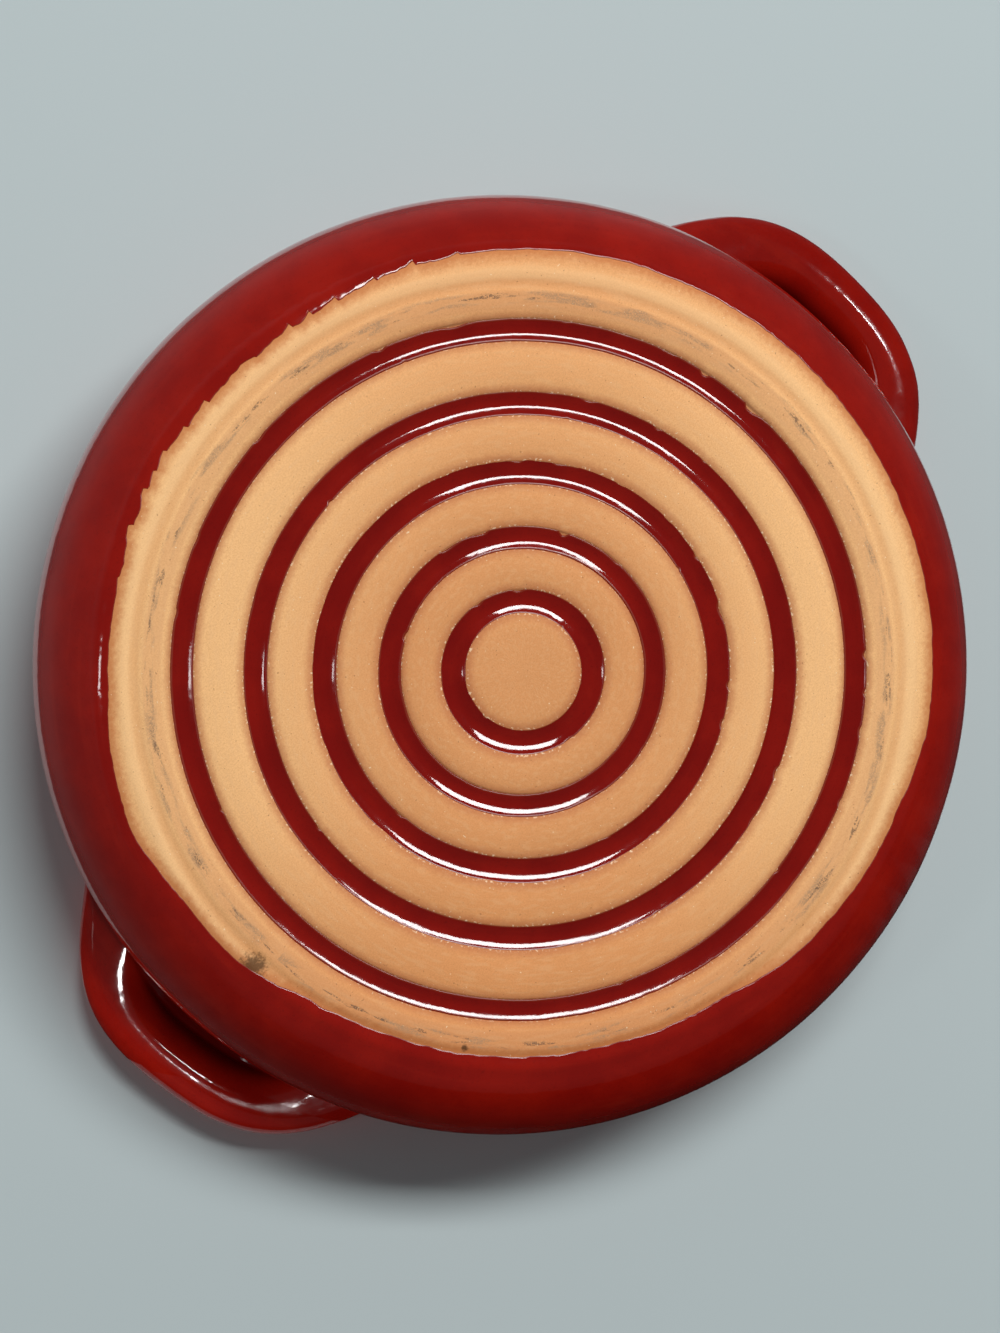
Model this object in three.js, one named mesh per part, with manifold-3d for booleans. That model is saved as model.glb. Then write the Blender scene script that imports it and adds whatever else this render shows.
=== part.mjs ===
// A round terracotta casserole dish with two ear handles, red glaze and a ringed base.
// Millimetres, +Z up. The origin is the centre of the foot ring, on the surface that it stands on.
// The handles lie along X, each a little off it because they are luted on by hand.
import * as THREE from "three";
import { mergeVertices } from "three/addons/utils/BufferGeometryUtils.js";
import Module from "manifold-3d";

const wasm = await Module();
wasm.setup();

// Driving dimensions of the finished dish
const overallHeight = 82;
const bellyRadius = 140; // the widest part of the wall
const bellyHeight = 37;
const rimInset = 6; // the rim lies this far inside the belly
const wallSweep = 25.5; // how far the wall swells from its bead at the foot to the belly
const wallThickness = 8; // clay with both coats of glaze
const floorThickness = 9; // from the crests of the base rings to the cooking floor
const cornerWidth = 28; // inside, between the flat floor and the wall

// Foot and base
const footWidth = 5; // the flat ring that the dish stands on
const valleyWidth = 5.5; // between the foot ring and the bead
const valleyDepth = 0.7;
const beadRise = 0.5; // the bead stays this far above the foot
const ringRise = 0.8; // the base rings stay this far above the foot
const ringShoulder = 0.5; // how far a ring's edge drops away from its crest
const grooveCount = 5;
const footGap = 6; // from the foot ring to the middle of the outermost groove
const firstGroove = 20.3; // from the axis to the middle of the innermost groove
const pitchEase = 0.42; // the grooves draw closer together towards the middle
const grooveWidth = 6.8;
const grooveDepth = 2.6;

// Glaze
const glazeStart = 5; // from the bead to the line where the outer coat starts
const glazeThickness = 0.7;
const glazeEdge = 0.3; // thickness of a groove coat at its edges
const clearance = 0.3; // between parts that touch

// Ear handles
const handleReach = 24.8; // beyond the belly
const handleLength = 137; // along the wall, from root to root
const handleDrop = 13; // from the top of the rim to the middle of the rolled edge
const handleTurn = 3; // degrees that each handle sits off the X axis, towards +Y
const lobePower = 1.65; // above 1 a handle is blunt, seen from above
const rollWidth = 13; // the rolled outer edge
const rollHeight = 14;
const rollShare = 0.55; // most of a handle's reach that the roll's half width may take
const rootHeight = 0.6; // height of the roll at its roots, as a share of its full height
const recessDepth = 8; // finger recess on the underside
const recessSkew = 0.8; // below 1 the recess is deepest near the wall
const recessEnds = [0.45, 0.9]; // the recess fades out between these shares of the full reach
const handleFillet = 2.2; // where a handle's top runs up the wall

// Facets
const turnSteps = 40;
const arcSteps = 8;
const grooveSteps = 4;
const handleSteps = 22;
const rollSteps = 8;
const undersideSteps = 6;
const topSteps = 3;
const handleEnd = 0.9; // a handle's last section, as a share of its half length

const clay = new THREE.MeshStandardMaterial({ color: 0xdca46c, roughness: 0.9, metalness: 0 });
const redGlaze = new THREE.MeshStandardMaterial({ color: 0x7e2016, roughness: 0.12, metalness: 0 });

const point = (r, z) => new THREE.Vector2(r, z);
const steps = (count) => Array.from({ length: count + 1 }, (_, i) => i / count);
const { lerp, smoothstep } = THREE.MathUtils;
const quarter = Math.PI / 2;

// Places that follow from the sizes
const rimRound = wallThickness / 2;
const rimBase = overallHeight - rimRound;
const rimRadius = bellyRadius - rimInset;
const insideRadius = bellyRadius - wallThickness;
const floorRadius = insideRadius - cornerWidth;
const floorHeight = ringRise + floorThickness;
const beadRadius = bellyRadius - wallSweep;
const footOuterRadius = beadRadius - valleyWidth;
const footInnerRadius = footOuterRadius - footWidth;
const lastGroove = footInnerRadius - footGap;
const handleHeight = overallHeight - handleDrop;
const coatDepth = glazeThickness + clearance; // the clay lies this far under the finished face
const grooveGaps = Math.max(grooveCount - 1, 1);
const groovePitch = (lastGroove - firstGroove) / grooveGaps + grooveGaps * pitchEase; // the outermost gap
const grooveRadii = Array.from({ length: grooveCount }, (_, i) => {
  const inward = grooveCount - 1 - i;
  return lastGroove - inward * (groovePitch - inward * pitchEase);
});

// Outside of the wall: a quarter ellipse from the bead to the belly, then a parabola to the rim.
function sweepPoint(angle) {
  return point(
    beadRadius + wallSweep * Math.sin(angle),
    beadRise + (bellyHeight - beadRise) * (1 - Math.cos(angle)),
  );
}
function upperRadius(z) {
  const share = (z - bellyHeight) / (rimBase - bellyHeight);
  return bellyRadius - rimInset * share * share;
}
const glazeLineAngle = Math.asin(glazeStart / wallSweep);
const upperHeights = steps(arcSteps / 2).map((t) => lerp(bellyHeight, rimBase, t));
const bareSweep = steps(2).map((t) => sweepPoint(t * glazeLineAngle));
const glazedWall = [
  ...steps(arcSteps).map((t) => sweepPoint(lerp(glazeLineAngle, quarter, t))),
  ...upperHeights.slice(1).map((z) => point(upperRadius(z), z)),
];

// Rim and inside, from the outside of the rim to the middle of the cooking floor.
const glazedInside = [
  ...steps(arcSteps / 2).map((t) =>
    point(
      rimRadius - rimRound + rimRound * Math.cos(2 * quarter * t),
      rimBase + rimRound * Math.sin(2 * quarter * t),
    ),
  ),
  ...upperHeights.slice(0, -1).reverse().map((z) => point(upperRadius(z) - wallThickness, z)),
  ...steps(arcSteps).slice(1).map((t) =>
    point(
      floorRadius + cornerWidth * Math.cos(quarter * t),
      floorHeight + (bellyHeight - floorHeight) * (1 - Math.sin(quarter * t)),
    ),
  ),
  point(0, floorHeight),
];

// An outline moved to its left by a distance, which is into the clay for the outlines above.
function offset(outline, distance) {
  return outline.map((here, i) => {
    const before = outline[i - 1] ?? here.clone().multiplyScalar(2).sub(outline[i + 1]);
    const after = outline[i + 1] ?? here.clone().multiplyScalar(2).sub(before);
    const inward = here.clone().sub(before).normalize();
    const onward = after.clone().sub(here).normalize();
    const along = inward.clone().add(onward).normalize();
    const stretch = distance / along.dot(onward);
    return point(here.x - along.y * stretch, here.y + along.x * stretch);
  });
}

// An outline with a short length cut off each end.
function trim(outline, atStart, atEnd) {
  const cut = outline.map((p) => p.clone());
  const last = cut.length - 1;
  cut[0].add(cut[1].clone().sub(cut[0]).setLength(atStart));
  cut[last].add(cut[last - 1].clone().sub(cut[last]).setLength(atEnd));
  return cut;
}

// The hollow of one base groove: a parabola across its width.
function hollow(radius, width, depth) {
  const edge = ringRise + ringShoulder;
  return steps(grooveSteps).map((t) => {
    const across = 2 * t - 1;
    return point(radius + (across * width) / 2, edge + depth * (1 - across * across));
  });
}

// A solid turned from a closed outline about Z.
function turned(outline) {
  const closed = outline[0].x > 0 ? [...outline, outline[0].clone()] : outline;
  return solid(new THREE.LatheGeometry(closed, turnSteps).rotateX(quarter));
}

function solid(geometry) {
  geometry.deleteAttribute("normal");
  geometry.deleteAttribute("uv");
  const merged = mergeVertices(geometry);
  return new wasm.Manifold(
    new wasm.Mesh({
      numProp: 3,
      vertProperties: merged.attributes.position.array,
      triVerts: new Uint32Array(merged.index.array),
    }),
  );
}

function part(name, body, material) {
  const mesh = body.getMesh();
  const geometry = new THREE.BufferGeometry();
  geometry.setAttribute("position", new THREE.BufferAttribute(mesh.vertProperties, mesh.numProp));
  geometry.setIndex(new THREE.BufferAttribute(mesh.triVerts, 1));
  geometry.computeVertexNormals();
  const made = new THREE.Mesh(geometry, material);
  made.name = name;
  return made;
}

// The clay body: rings and grooves under the floor, the foot, the wall and the rim.
function bowl() {
  const base = grooveRadii.flatMap((radius, i) => [
    point(i === 0 ? 0 : (grooveRadii[i - 1] + radius) / 2, ringRise),
    ...hollow(radius, grooveWidth + 2 * coatDepth, grooveDepth + coatDepth),
  ]);
  const foot = [
    point(footInnerRadius, 0),
    point(footOuterRadius, 0),
    point((footOuterRadius + beadRadius) / 2, valleyDepth),
  ];
  return turned([
    ...base,
    ...foot,
    ...bareSweep,
    ...offset(glazedWall, coatDepth),
    ...offset(glazedInside, coatDepth).slice(1, -1),
    point(0, floorHeight - coatDepth),
  ]);
}

// A coat of glaze over an outline, kept off its neighbours at both ends.
function coat(outline, atStart, atEnd) {
  const face = trim(outline, atStart, atEnd);
  const back = offset(face, glazeThickness);
  return [...face, ...back.reverse()];
}

function outerGlaze() {
  return turned(coat(glazedWall, clearance, clearance / 2));
}

function innerGlaze() {
  const outline = coat(glazedInside, clearance / 2, 0);
  const middle = glazedInside.length - 1;
  outline[middle] = point(0, floorHeight);
  outline[middle + 1] = point(0, floorHeight - glazeThickness);
  return turned([...outline.slice(middle + 1), ...outline.slice(0, middle + 1)]);
}

function grooveGlaze(radius) {
  const face = hollow(radius, grooveWidth, grooveDepth);
  const back = hollow(radius, grooveWidth, grooveDepth + glazeThickness - glazeEdge);
  back.forEach((p) => (p.y += glazeEdge));
  return turned([...face, ...back.reverse()]);
}

// How far a handle stands out from the wall at an angle from its middle.
const handleSeat = upperRadius(handleHeight);
const handleSpread = handleLength / 2 / handleSeat;
function reachAt(angle) {
  const share = Math.min(Math.abs(angle) / handleSpread, 1) ** lobePower;
  const most = bellyRadius + handleReach - handleSeat;
  return most * (0.5 + 0.5 * Math.cos(Math.PI * share));
}

// A handle's measures at an angle: its reach, its roll, its recess and the fillet up the wall.
function handleMeasures(angle) {
  const reach = reachAt(angle);
  const share = reach / reachAt(0);
  return {
    reach,
    rollHalfWidth: Math.min(rollWidth / 2, rollShare * reach),
    rollHalfHeight: (rollHeight / 2) * lerp(rootHeight, 1, share),
    recess: recessDepth * smoothstep(share, ...recessEnds),
    fillet: handleFillet * share,
  };
}

// Its cross-section at an angle: the underside with the recess, the rolled edge and the top.
const sunk = -2 * coatDepth; // sections start inside the clay and are cut off at the seat
function handleSection(angle) {
  const { reach, rollHalfWidth, rollHalfHeight, recess, fillet } = handleMeasures(angle);
  const rollMiddle = reach - rollHalfWidth;
  const underside = steps(undersideSteps).map((t) => {
    const x = lerp(sunk, rollMiddle, t);
    const arch = Math.sin(Math.PI * Math.max(x / rollMiddle, 0) ** recessSkew);
    return point(x, recess * arch - rollHalfHeight);
  });
  const roll = steps(rollSteps).slice(1).map((t) => {
    const round = Math.PI * t;
    return point(rollMiddle + rollHalfWidth * Math.sin(round), -rollHalfHeight * Math.cos(round));
  });
  const top = steps(topSteps).slice(1).map((t) => {
    const x = lerp(rollMiddle, sunk, t);
    return point(x, rollHalfHeight + fillet * (1 - smoothstep(x, 0, rollHalfWidth)));
  });
  return [...underside, ...roll, ...top];
}

// The window that a handle's root needs in the outer coat.
function windowSection(angle) {
  const { rollHalfHeight, fillet } = handleMeasures(angle);
  const low = -rollHalfHeight - clearance;
  const high = rollHalfHeight + fillet + clearance;
  return [point(sunk, low), point(-sunk, low), point(-sunk, high), point(sunk, high)];
}

// A solid lofted along the wall through the sections of a handle or a window.
function lofted(sectionAt, extra) {
  const end = handleSpread * handleEnd;
  const angles = steps(handleSteps).map((t) => lerp(-end, end, t));
  const sections = angles.map(sectionAt);
  angles[0] -= extra / handleSeat;
  angles[handleSteps] += extra / handleSeat;
  const size = sections[0].length;
  const positions = sections.flatMap((section, k) =>
    section.flatMap((p) => {
      const r = handleSeat + p.x;
      return [r * Math.cos(angles[k]), r * Math.sin(angles[k]), handleHeight + p.y];
    }),
  );
  const faces = [];
  for (let k = 0; k < handleSteps; k++) {
    for (let i = 0; i < size; i++) {
      const a = k * size + i;
      const b = k * size + ((i + 1) % size);
      faces.push(a, a + size, b, b, a + size, b + size);
    }
  }
  const cap = THREE.ShapeUtils.triangulateShape(sections[0], []);
  const lastRing = handleSteps * size;
  cap.forEach(([a, b, c]) => faces.push(a, b, c, lastRing + c, lastRing + b, lastRing + a));
  const geometry = new THREE.BufferGeometry();
  geometry.setAttribute("position", new THREE.Float32BufferAttribute(positions, 3));
  geometry.setIndex(faces);
  return solid(geometry);
}

// The clay wall with its clearance, filled to the axis.
function wallCore() {
  const seat = offset(glazedWall, glazeThickness);
  return turned([point(0, seat[0].y), ...seat, point(0, seat[seat.length - 1].y)]);
}

const ear = lofted(handleSection, 0);
const window = lofted(windowSection, clearance);
const core = wallCore();
const rightTurn = [0, 0, handleTurn];
const leftTurn = [0, 0, 180 - handleTurn];

const dish = new THREE.Group();
dish.add(part("bowl", bowl(), clay));
dish.add(part("handle_right", ear.rotate(rightTurn).subtract(core), redGlaze));
dish.add(part("handle_left", ear.rotate(leftTurn).subtract(core), redGlaze));
const outerCoat = outerGlaze().subtract(window.rotate(rightTurn)).subtract(window.rotate(leftTurn));
dish.add(part("outer_glaze", outerCoat, redGlaze));
dish.add(part("inner_glaze", innerGlaze(), redGlaze));
grooveRadii.forEach((radius, i) => {
  dish.add(part(`groove_glaze_${i + 1}`, grooveGlaze(radius), redGlaze));
});

export default dish;
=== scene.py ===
"""The looks of a round terracotta casserole dish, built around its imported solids.

Shapes are worked out in millimetres and become metres when a mesh is made.
An azimuth is in degrees about +Z from +X, and a turn is the same angle in radians.
"""
import math

import bpy
import numpy as np
from mathutils import Matrix, Vector


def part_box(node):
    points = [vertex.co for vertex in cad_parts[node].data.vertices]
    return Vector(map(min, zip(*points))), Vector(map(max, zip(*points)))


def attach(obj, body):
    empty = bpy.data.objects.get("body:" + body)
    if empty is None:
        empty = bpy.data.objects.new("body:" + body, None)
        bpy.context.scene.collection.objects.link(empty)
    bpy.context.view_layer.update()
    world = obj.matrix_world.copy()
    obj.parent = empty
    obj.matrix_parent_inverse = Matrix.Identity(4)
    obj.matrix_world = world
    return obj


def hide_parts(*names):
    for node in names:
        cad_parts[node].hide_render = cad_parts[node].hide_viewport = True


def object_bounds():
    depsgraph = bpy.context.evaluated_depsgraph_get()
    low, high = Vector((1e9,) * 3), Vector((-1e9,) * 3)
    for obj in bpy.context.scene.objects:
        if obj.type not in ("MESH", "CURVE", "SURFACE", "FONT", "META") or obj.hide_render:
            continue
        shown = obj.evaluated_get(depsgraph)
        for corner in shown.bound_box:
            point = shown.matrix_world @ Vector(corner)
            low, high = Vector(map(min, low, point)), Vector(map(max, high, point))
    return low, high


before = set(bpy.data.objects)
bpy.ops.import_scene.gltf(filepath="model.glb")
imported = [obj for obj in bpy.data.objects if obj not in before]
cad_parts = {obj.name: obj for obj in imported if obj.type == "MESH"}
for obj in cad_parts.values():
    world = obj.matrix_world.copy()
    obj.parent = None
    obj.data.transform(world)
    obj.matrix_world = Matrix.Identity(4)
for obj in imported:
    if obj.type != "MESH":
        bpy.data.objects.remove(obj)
cad_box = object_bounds()

MM = 0.001
TAU = 2 * math.pi

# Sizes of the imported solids
HEIGHT = cad_box[1].z / MM
HANDLE_TIP = cad_box[1].x / MM
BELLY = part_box("outer_glaze")[1].y / MM
COAT_HALF = 3.4  # half the width of a packed groove coat
GROOVES = np.array([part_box(f"groove_glaze_{i}")[1].y / MM - COAT_HALF for i in range(1, 6)])

# The wall, in sizes that repeat the solids' own
BELLY_HEIGHT = 37
RIM_INSET = 6
RIM_BASE = HEIGHT - 4
WALL_SWEEP = 25.5  # how far the wall swells from its bead at the foot to the belly
WALL_THICK = 8
FLOOR_HEIGHT = 9.8  # of the cooking floor
CORNER_WIDTH = 28  # inside, between the floor and the wall
BEAD = BELLY - WALL_SWEEP
BEAD_HEIGHT = 0.5
SWEEP_JOIN = BEAD + 13.5  # radius at which an outline passes from heights over the base to the sweep

# The foot and the ground beside it
FOOT = (BEAD - 10.2, BEAD - 5.7)
FOOT_LINE = BEAD - 6.8  # radius of the scuffed line by the foot's outer side
FOOT_LIFT = 0.02  # keeps the foot just inside the solids' box
VALLEY = BEAD - 2.8
VALLEY_HEIGHT = 0.7
CREST = 0.8  # height of the base rings over the foot
STAINS = ((182, -0.5, 3.6), (148, -4.7, 1.1), (109, -1.3, 1.0))  # azimuth, distance beyond the bead, and size
CLAY_LUMPS = ((0.04, 9), (0.03, 3.5), (0.015, 1.6))  # height and width; only the first shows through glaze

# The grooves
GROOVE_HALF = 3.3
GROOVE_EDGE = 1.9  # height over the foot where clay turns into a groove
SHOULDER = 2.2  # how softly a ring rounds off beside a groove
GROOVE_SLOPE = ((0, 0), (0.3, 0.22), (0.45, 0.3), (0.7, 0.34), (1, 0.52))  # by share of the half width
GROOVE_COAT = 0.4
GROOVE_PROUD = 0.1
GROOVE_LIP = 0.3  # width of the rounded edge of a groove's coat
BEYOND = 0.5  # how far a groove's coat dips on into the clay
GROOVE_BACK = 0.55  # how deep in the clay its hidden back lies
GROOVE_DARKENING = 0.27  # how far its red is darkened in a groove
# Mean inner and outer edge of each groove's glaze, from the groove's middle
GROOVE_EDGES = ((-3.4, 3.5), (-2.7, 3.3), (-3.3, 3.4), (-3.4, 3.2), (-2.8, 3.1))
NICK_DEPTH = 1.1
NOTCHED_SIDE = 354  # azimuth at which the grooves' outer edges have the most nicks

# Outer and inner coat
COAT = 0.45
COAT_LIP = 0.4
EDGE_SHARE = 0.15  # thickness of a coat by its edge, as a share of its full thickness
SWELLING = (-1, 4)  # distances inwards between which a coat swells from that to its full thickness
CLAY_UNDER = COAT + 0.1  # depth of the clay under the coats' outlines
OUTER_BACK, INNER_BACK = COAT + 0.4, COAT + 0.35  # depth of the coats' hidden backs
COAT_WAVES = (0.16, 26)  # height and width of the outer coat's waves
INSIDE_WAVES = (0.15, 24)
# Where the outer coat ends: azimuth, and distance beyond the bead
GLAZE_LINE = (
    (9, 7.2), (39, 7.3), (58, 6.7), (69, 3.8), (84, 2.3), (97, 0.6), (106, -2.5),
    (124, -3.1), (162, -3.3), (174, -2.1), (184, 1.9), (196, 2.7), (207, 6.3),
    (217, 5.9), (227, 4.3), (244, 4.3), (260, 5.9), (271, 4.2), (289, 4.3),
    (299, 5.7), (311, 6.5), (334, 7.1),
)
BRUSHED = (245, 305)  # the azimuths between which the line is notched by the brush
NOTCHES = 74  # in a full turn
NOTCH_DEPTH = 1.8

# Ear handles
SEAT_HEIGHT = HEIGHT - 13
ROLL_WIDTH = 15
ROLL_HEIGHT = 14
ROLL_SHARE = 0.55  # most of a handle's reach that the roll's half width may take
ROOT_HEIGHT = 0.6
ROLL_POWER = 2.4  # 2 is an ellipse, and a larger power is flatter underneath
RECESS_DEPTH = 9
RECESS_ROUND = 12  # how far from the crest of the roll the recess reaches its full depth
RECESS_ENDS = (16, 3)  # degrees from the handle's middle where the recess starts, and where it is full
RECESS_WALL = 0.97  # share of the recess's round before it runs on straight
TOP_FILLET, TOP_FILLET_WIDTH = 3.0, 4.5
UNDER_FILLET, UNDER_FILLET_WIDTH = 2.5, 5
TOP_DIP = 0.8
BURIED = 0.7  # how far a handle's sections start inside the wall
HANDLE_WAVES = (0.18, 14)
HANDLE_POWER = 1.65  # above 1 a handle is blunt, seen from above
HANDLE_HALF = 68.5  # half a handle's length along the wall
HANDLES = {"handle_right": 3, "handle_left": 177}  # azimuths

# How finely the meshes are made
CLAY_TURNS, LINE_TURNS, INSIDE_TURNS = 512, 1440, 480
GROOVE_TURNS = 12.6  # for each millimetre of a groove's radius
HANDLE_TURNS = 181
SHARP_ANGLE = 65  # degrees from which an edge isn't shaded smooth


def rgb(red, green, blue):
    """A display colour from 0 to 255 as the linear colour that a shader takes."""
    parts = np.array([red, green, blue]) / 255
    linear = np.where(parts <= 0.04045, parts / 12.92, ((parts + 0.055) / 1.055) ** 2.4)
    return (*map(float, linear), 1.0)


def smoothstep(value, low, high):
    part = np.clip((value - low) / (high - low), 0, 1)
    return part * part * (3 - 2 * part)


def lerp(low, high, part):
    return low + (high - low) * part


def ripples(turn, count, seed):
    """Smooth noise from -1 to 1 round the axis, with a new value count times in a turn."""
    values = np.random.default_rng(seed).uniform(-1, 1, count)
    place = (turn / TAU * count) % count
    cell = np.floor(place).astype(int)
    part = smoothstep(place - cell, 0, 1)
    return lerp(values[cell % count], values[(cell + 1) % count], part)


def lumps(x, y, cell, seed):
    """Smooth noise from -1 to 1 over a plane, with lumps about a cell wide."""
    size = 512
    values = np.random.default_rng(seed).uniform(-1, 1, (size, size))
    u, v = x / cell, y / cell
    i, j = np.floor(u).astype(int), np.floor(v).astype(int)
    s, t = smoothstep(u - i, 0, 1), smoothstep(v - j, 0, 1)
    near = lerp(values[i % size, j % size], values[(i + 1) % size, j % size], s)
    far = lerp(values[i % size, (j + 1) % size], values[(i + 1) % size, (j + 1) % size], s)
    return lerp(near, far, t)


def quarter_rise(part):
    """Rise of a quarter round from its flat end to its steep one, as part goes from 0 to 1."""
    return 1 - np.sqrt(1 - part * part)


def turns(count):
    """Turns evenly round the axis."""
    return np.arange(count) * TAU / count


def joined(*outlines):
    """Outlines one after another, each as radii and heights."""
    return [np.concatenate(parts) for parts in zip(*outlines)]


# Form of the wall

def wall_radius(z):
    """Outside of the wall above the belly."""
    share = (z - BELLY_HEIGHT) / (RIM_BASE - BELLY_HEIGHT)
    return BELLY - RIM_INSET * share * share


def sweep_height(r):
    """Outside of the wall below the belly, as a height for a radius."""
    across = np.clip((r - BEAD) / WALL_SWEEP, 0, 0.999)
    return lerp(BEAD_HEIGHT, BELLY_HEIGHT, quarter_rise(across))


def sweep_steepness(r):
    """Length along the sweep for a step outwards."""
    step = 0.05
    slope = (sweep_height(r + step) - sweep_height(r)) / step
    return np.sqrt(1 + slope * slope)


def clay_sweep(r):
    """The clay of the sweep, which sinks below the coat that covers it."""
    return sweep_height(r) + COAT * smoothstep(r, BEAD, BEAD + 3.5) * sweep_steepness(r)


# Form of the base

def glaze_line(turn, notched=True):
    """Radius at which the outer coat ends, with or without the brush's notches. The turns go evenly round."""
    azimuths, beyond = np.array(GLAZE_LINE).T
    degrees = np.degrees(turn) % 360
    line = BEAD + np.interp(degrees, azimuths, beyond, period=360)
    width = line.size // 240
    kernel = np.hanning(2 * width + 3)
    padded = np.concatenate([line[-width - 1:], line, line[:width + 1]])
    line = np.convolve(padded, kernel / kernel.sum(), "valid")
    if not notched:
        return line
    first, last = BRUSHED
    brushed = smoothstep(degrees, first - 8, first + 4) * smoothstep(-degrees, -last - 10, -last + 2)
    saw = (turn / TAU * NOTCHES + 0.9 * ripples(turn, NOTCHES // 2, 11)) % 1
    notches = saw ** 3 * (0.55 + 0.45 * ripples(turn, 67, 12)) + 0.3 * ripples(turn, 190, 16) - 0.2
    fine = 0.12 * ripples(turn, 420, 13) + 0.18 * ripples(turn, 150, 14)
    return line + fine + brushed * (NOTCH_DEPTH * notches + 0.2 * ripples(turn, 520, 15))


def groove_edges(index, turn):
    """Inner and outer edge of a groove's glaze, as radii."""
    radius = GROOVES[index]
    waves = max(int(radius * 0.3), 5)
    edges = []
    for side, mean in enumerate(GROOVE_EDGES[index]):
        seed = 100 + 10 * index + side
        wander = 0.28 * ripples(turn, 5, seed) + 0.1 * ripples(turn, waves, seed + 2)
        fine = 0.05 * ripples(turn, waves * 6, seed + 4)
        rough = 0.82 + 0.12 * ripples(turn, 4, seed + 8)
        deep = NICK_DEPTH * (0.5 + 0.5 * np.cos(turn - math.radians(NOTCHED_SIDE)) * side)
        nicks = deep * smoothstep(ripples(turn, waves * 4, seed + 6), rough - 0.3 * side, 1.0)
        edges.append(radius + mean + wander + fine + (-nicks if side else nicks))
    return edges


def groove_face(share):
    """Depth of a groove's face below its edge, by share of the half width."""
    fine = np.linspace(0, 1, 201)
    slope = np.interp(fine, *np.array(GROOVE_SLOPE).T)
    fallen = np.concatenate([[0], np.cumsum((slope[1:] + slope[:-1]) / 2 * (fine[1] - fine[0]))])
    return np.interp(share, fine, (fallen[-1] - fallen) * GROOVE_HALF)


def base_height(r, turn, sunk=GROOVE_COAT):
    """Height of the clay over the foot plane, on the underside and the start of the wall.

    In the grooves it is sunk below the face of the glaze. With nothing sunk it is that face.
    """
    beside = np.min(np.abs(r[..., None] - GROOVES), axis=-1)
    valley = VALLEY_HEIGHT * smoothstep(r, FOOT[1], VALLEY)
    bead = (BEAD_HEIGHT - VALLEY_HEIGHT) * smoothstep(r, VALLEY, BEAD)
    level = np.where(r < GROOVES[-1], CREST, valley + bead)
    outside = np.maximum(beside - GROOVE_HALF, 0)
    ring = level + (GROOVE_EDGE - level) * np.exp(-outside / SHOULDER)
    inside = GROOVE_EDGE + groove_face(beside / GROOVE_HALF) + sunk
    height = np.where(beside < GROOVE_HALF, inside, ring)
    height = np.where(r > BEAD, clay_sweep(r), height)
    x, y = r * np.cos(turn), r * np.sin(turn)
    shown = CLAY_LUMPS if sunk else CLAY_LUMPS[:1]
    uneven = sum(tall * lumps(x, y, wide, seed) for seed, (tall, wide) in enumerate(shown, 1))
    off_foot = smoothstep(np.abs(height), 0, 0.2)
    return height + uneven * off_foot + FOOT_LIFT * smoothstep(-height, -0.2, 0)


# Meshes

def piece(name, points, faces, material, stands_for):
    """A closed mesh from points in millimetres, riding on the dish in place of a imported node."""
    mesh = bpy.data.meshes.new(name)
    mesh.from_pydata((points * MM).tolist(), [], faces)
    mesh.validate()
    mesh.shade_smooth()
    mesh.set_sharp_from_angle(angle=math.radians(SHARP_ANGLE))
    mesh.materials.append(material)
    made = bpy.data.objects.new(name, mesh)
    bpy.context.scene.collection.objects.link(made)
    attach(made, "root")
    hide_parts(stands_for)
    return made


def give(made, name, values):
    """Keeps a number for each point of a mesh, for its material to read."""
    layer = made.data.attributes.new(name, "FLOAT", "POINT")
    layer.data.foreach_set("value", np.ascontiguousarray(values, np.float32).ravel())


def around_axis(r, turn, z):
    """Points from radii, turns and heights."""
    return np.stack([r * np.cos(turn)[:, None], r * np.sin(turn)[:, None], z], -1)


def turned(r, z, turn, closed):
    """Points and faces of a body turned about Z. r and z are by turn and place along the outline.

    A closed outline meets itself. An open one starts and ends on the axis, with one point for each end.
    """
    count, along = r.shape
    points = around_axis(r, turn, z).reshape(-1, 3)
    k = np.arange(count)[:, None]
    after = (k + 1) % count
    j = np.arange(along if closed else along - 1)[None, :]
    ahead = (j + 1) % along
    quads = np.stack([k * along + j, after * along + j, after * along + ahead, k * along + ahead], -1)
    faces = quads.reshape(-1, 4).tolist()
    if closed:
        return points, faces
    size = len(points)
    k, after = k.ravel(), after.ravel()
    first = np.stack([np.full(count, size), after * along, k * along], -1)
    last = np.stack([np.full(count, size + 1), k * along + along - 1, after * along + along - 1], -1)
    ends = [[0, 0, z[:, 0].mean()], [0, 0, z[:, -1].mean()]]
    return np.vstack([points, ends]), faces + first.tolist() + last.tolist()


def lofted(sections):
    """Points and faces of a body from closed sections, with a point in the middle of each end."""
    count, size = sections.shape[:2]
    k, j = np.arange(count - 1)[:, None], np.arange(size)
    ahead = (j + 1) % size
    quads = np.stack([k * size + j, (k + 1) * size + j, (k + 1) * size + ahead, k * size + ahead], -1)
    start, last = count * size, (count - 1) * size
    first_end = np.stack([np.full(size, start), j, ahead], -1)
    last_end = np.stack([np.full(size, start + 1), last + ahead, last + j], -1)
    points = np.vstack([sections.reshape(-1, 3), sections[[0, -1]].mean(1)])
    return points, quads.reshape(-1, 4).tolist() + first_end.tolist() + last_end.tolist()


def outline_lengths(r, z, axis=-1):
    """Steps along an outline in radius and height, and their lengths."""
    step_r, step_z = np.gradient(r, axis=axis), np.gradient(z, axis=axis)
    return step_r, step_z, np.hypot(step_r, step_z)


def moved(r, z, distance):
    """An outline moved to its left, which is into the clay for the outlines of this dish."""
    step_r, step_z, length = outline_lengths(r, z)
    return r - distance * step_z / length, z + distance * step_r / length


# Outlines of the wall, the rim and the inside, each as radii and heights

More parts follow.
